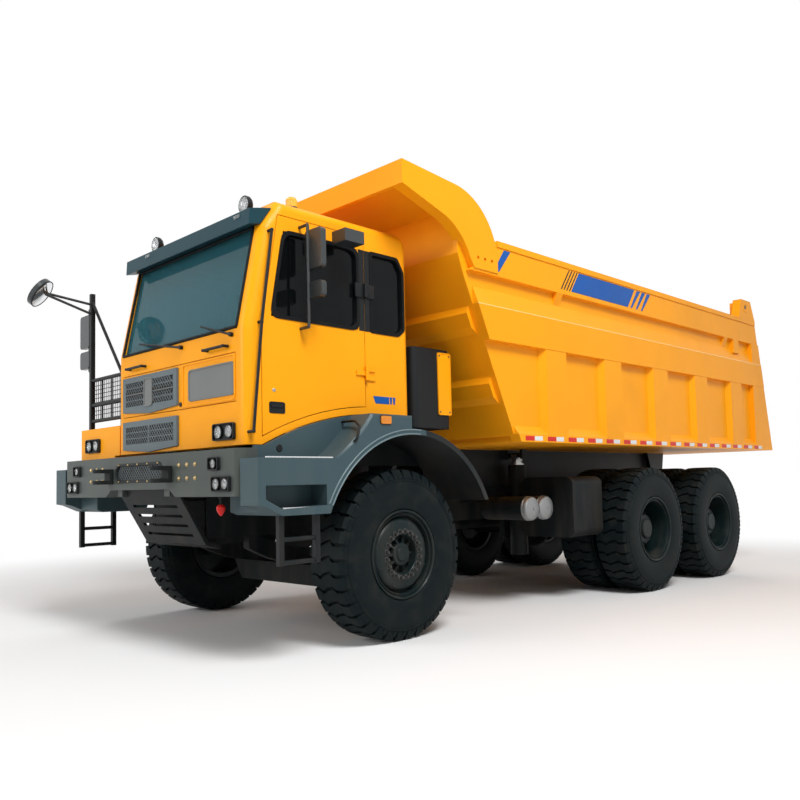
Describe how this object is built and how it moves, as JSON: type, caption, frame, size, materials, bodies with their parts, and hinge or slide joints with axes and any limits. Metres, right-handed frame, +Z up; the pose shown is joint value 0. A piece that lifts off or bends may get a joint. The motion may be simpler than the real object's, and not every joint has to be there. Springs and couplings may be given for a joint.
{
  "type": "mining dump truck",
  "caption": "Wide-body rigid mining dump truck with an offset cab, dual rear wheels, a canopied tipping bed raised by telescopic hoists, and opening doors, front flap and tailgate.",
  "frame": {"origin": "on the ground under the middle of the overall length, on the centre plane", "axes": "+X forward, +Y to the truck's left, +Z up; the wheels turn about Y"},
  "size_m": [9.99, 3.81, 4.167],
  "materials": {
    "paint_yellow": "satin yellow-orange paint, dusty",
    "paint_slate": "slate grey moulded plastic and paint",
    "black_steel": "black chassis paint",
    "rubber": "matt black rubber",
    "rim_paint": "dark wheel paint",
    "glass": "tinted safety glass",
    "lamp": "clear lamp glass over reflectors",
    "amber": "amber lens",
    "grille_grey": "grey moulded plastic",
    "interior": "dark moulded plastic",
    "seat_fabric": "dark woven fabric",
    "bright_steel": "bare ground steel",
    "tank_silver": "bare aluminium"
  },
  "bodies": {
    "chassis": {"frame": "black_steel", "engine": "black_steel", "front_axle": "black_steel", "front_springs": "black_steel", "rear_axles": "black_steel", "bogie": "black_steel", "tube_work": "black_steel", "mirrors_right": "black_steel", "tanks": "black_steel", "air_cleaner": "black_steel", "tow_clevises": "black_steel", "skid_plate": "black_steel", "cab_handles": "black_steel", "bumper": "paint_slate", "fenders": "paint_slate", "visor": "paint_slate", "deck_right": "paint_yellow", "cab_floor": "paint_yellow", "cab_front": "paint_yellow", "cab_sides": "paint_yellow", "cab_rear": "paint_yellow", "cab_roof": "paint_yellow", "cab_glass": "glass", "grille_lower": "grille_grey", "lamps": "lamp", "beacon": "amber", "dash": "interior", "seats": "seat_fabric", "air_tanks": "tank_silver"},
    "knuckle_left": {"knuckle_left": "black_steel"},
    "knuckle_right": {"knuckle_right": "black_steel"},
    "tie_rod": {"tie_rod": "black_steel"},
    "bed": {"bed_floor": "paint_yellow", "bed_front": "paint_yellow", "bed_sides": "paint_yellow"},
    "tailgate": {"tailgate": "paint_yellow"},
    "hoist_barrels": {"hoist_barrels": "black_steel"},
    "hoist_sleeves_outer": {"hoist_sleeves_outer": "bright_steel"},
    "hoist_sleeves_inner": {"hoist_sleeves_inner": "bright_steel"},
    "hoist_rods": {"hoist_rods": "bright_steel"},
    "door_left": {"door_left": "paint_yellow", "door_left_glass": "glass", "mirrors_left": "black_steel"},
    "door_right": {"door_right": "paint_yellow", "door_right_glass": "glass"},
    "front_flap": {"front_flap": "paint_yellow", "grille_upper": "grille_grey"},
    "wheel_front_left": {"tyre_front_left": "rubber", "rim_front_left": "rim_paint"},
    "wheel_front_right": {"tyre_front_right": "rubber", "rim_front_right": "rim_paint"},
    "wheel_mid_left": {"tyres_mid_left": "rubber", "rims_mid_left": "rim_paint"},
    "wheel_mid_right": {"tyres_mid_right": "rubber", "rims_mid_right": "rim_paint"},
    "wheel_rear_left": {"tyres_rear_left": "rubber", "rims_rear_left": "rim_paint"},
    "wheel_rear_right": {"tyres_rear_right": "rubber", "rims_rear_right": "rim_paint"}
  },
  "joints": [
    {"name": "steer_left", "type": "hinge", "parent": "chassis", "child": "knuckle_left", "pos_m": [2.88, 1.11, 0.7465], "axis": [0, 0, 1], "range_deg": [-35, 35]},
    {"name": "steer_right", "type": "hinge", "parent": "chassis", "child": "knuckle_right", "pos_m": [2.88, -1.11, 0.7465], "axis": [0, 0, 1], "range_deg": [-35, 35]},
    {"name": "tie_rod_swing", "type": "hinge", "parent": "knuckle_left", "child": "tie_rod", "pos_m": [2.55, 1, 0.54], "axis": [0, 0, 1], "range_deg": [-35, 35]},
    {"name": "bed_tilt", "type": "hinge", "parent": "chassis", "child": "bed", "pos_m": [-3.87, 0, 1.3], "axis": [0, -1, 0], "range_deg": [0, 45]},
    {"name": "tailgate_swing", "type": "hinge", "parent": "bed", "child": "tailgate", "pos_m": [-4.2, 0, 3.88], "axis": [0, 1, 0], "range_deg": [0, 65]},
    {"name": "hoist_lean", "type": "hinge", "parent": "chassis", "child": "hoist_barrels", "pos_m": [-0.12, 0, 0.8], "axis": [0, -1, 0], "range_deg": [0, 21.8]},
    {"name": "hoist_outer_slide", "type": "slide", "parent": "hoist_barrels", "child": "hoist_sleeves_outer", "axis": [0, 0, 1], "range_m": [0, 0.935]},
    {"name": "hoist_inner_slide", "type": "slide", "parent": "hoist_sleeves_outer", "child": "hoist_sleeves_inner", "axis": [0, 0, 1], "range_m": [0, 0.935]},
    {"name": "hoist_rod_slide", "type": "slide", "parent": "hoist_sleeves_inner", "child": "hoist_rods", "axis": [0, 0, 1], "range_m": [0, 0.935]},
    {"name": "door_left_swing", "type": "hinge", "parent": "chassis", "child": "door_left", "pos_m": [3.173, 1.524, 2.7], "axis": [0, 0, 1], "range_deg": [0, 75]},
    {"name": "door_right_swing", "type": "hinge", "parent": "chassis", "child": "door_right", "pos_m": [3.173, -0.664, 2.7], "axis": [0, 0, -1], "range_deg": [0, 75]},
    {"name": "front_flap_lift", "type": "hinge", "parent": "chassis", "child": "front_flap", "pos_m": [4.41, 0.42, 2.414], "axis": [0, -1, 0], "range_deg": [0, 80]},
    {"name": "spin_front_left", "type": "hinge", "parent": "knuckle_left", "child": "wheel_front_left", "pos_m": [2.88, 1.436, 0.7465], "axis": [0, 1, 0], "continuous": true},
    {"name": "spin_front_right", "type": "hinge", "parent": "knuckle_right", "child": "wheel_front_right", "pos_m": [2.88, -1.436, 0.7465], "axis": [0, 1, 0], "continuous": true},
    {"name": "spin_mid_left", "type": "hinge", "parent": "chassis", "child": "wheel_mid_left", "pos_m": [-1.228, 1.42, 0.7465], "axis": [0, 1, 0], "continuous": true},
    {"name": "spin_mid_right", "type": "hinge", "parent": "chassis", "child": "wheel_mid_right", "pos_m": [-1.228, -1.42, 0.7465], "axis": [0, 1, 0], "continuous": true},
    {"name": "spin_rear_left", "type": "hinge", "parent": "chassis", "child": "wheel_rear_left", "pos_m": [-3.025, 1.42, 0.7465], "axis": [0, 1, 0], "continuous": true},
    {"name": "spin_rear_right", "type": "hinge", "parent": "chassis", "child": "wheel_rear_right", "pos_m": [-3.025, -1.42, 0.7465], "axis": [0, 1, 0], "continuous": true}
  ],
  "couplings": [
    {"joint": "steer_right", "follows": "steer_left", "ratio": 1},
    {"joint": "tie_rod_swing", "follows": "steer_left", "ratio": -1},
    {"joint": "hoist_lean", "follows": "bed_tilt", "ratio": 0.48413},
    {"joint": "hoist_outer_slide", "follows": "bed_tilt", "m_per_rad": 1.1898},
    {"joint": "hoist_inner_slide", "follows": "bed_tilt", "m_per_rad": 1.1898},
    {"joint": "hoist_rod_slide", "follows": "bed_tilt", "m_per_rad": 1.1898}
  ]
}
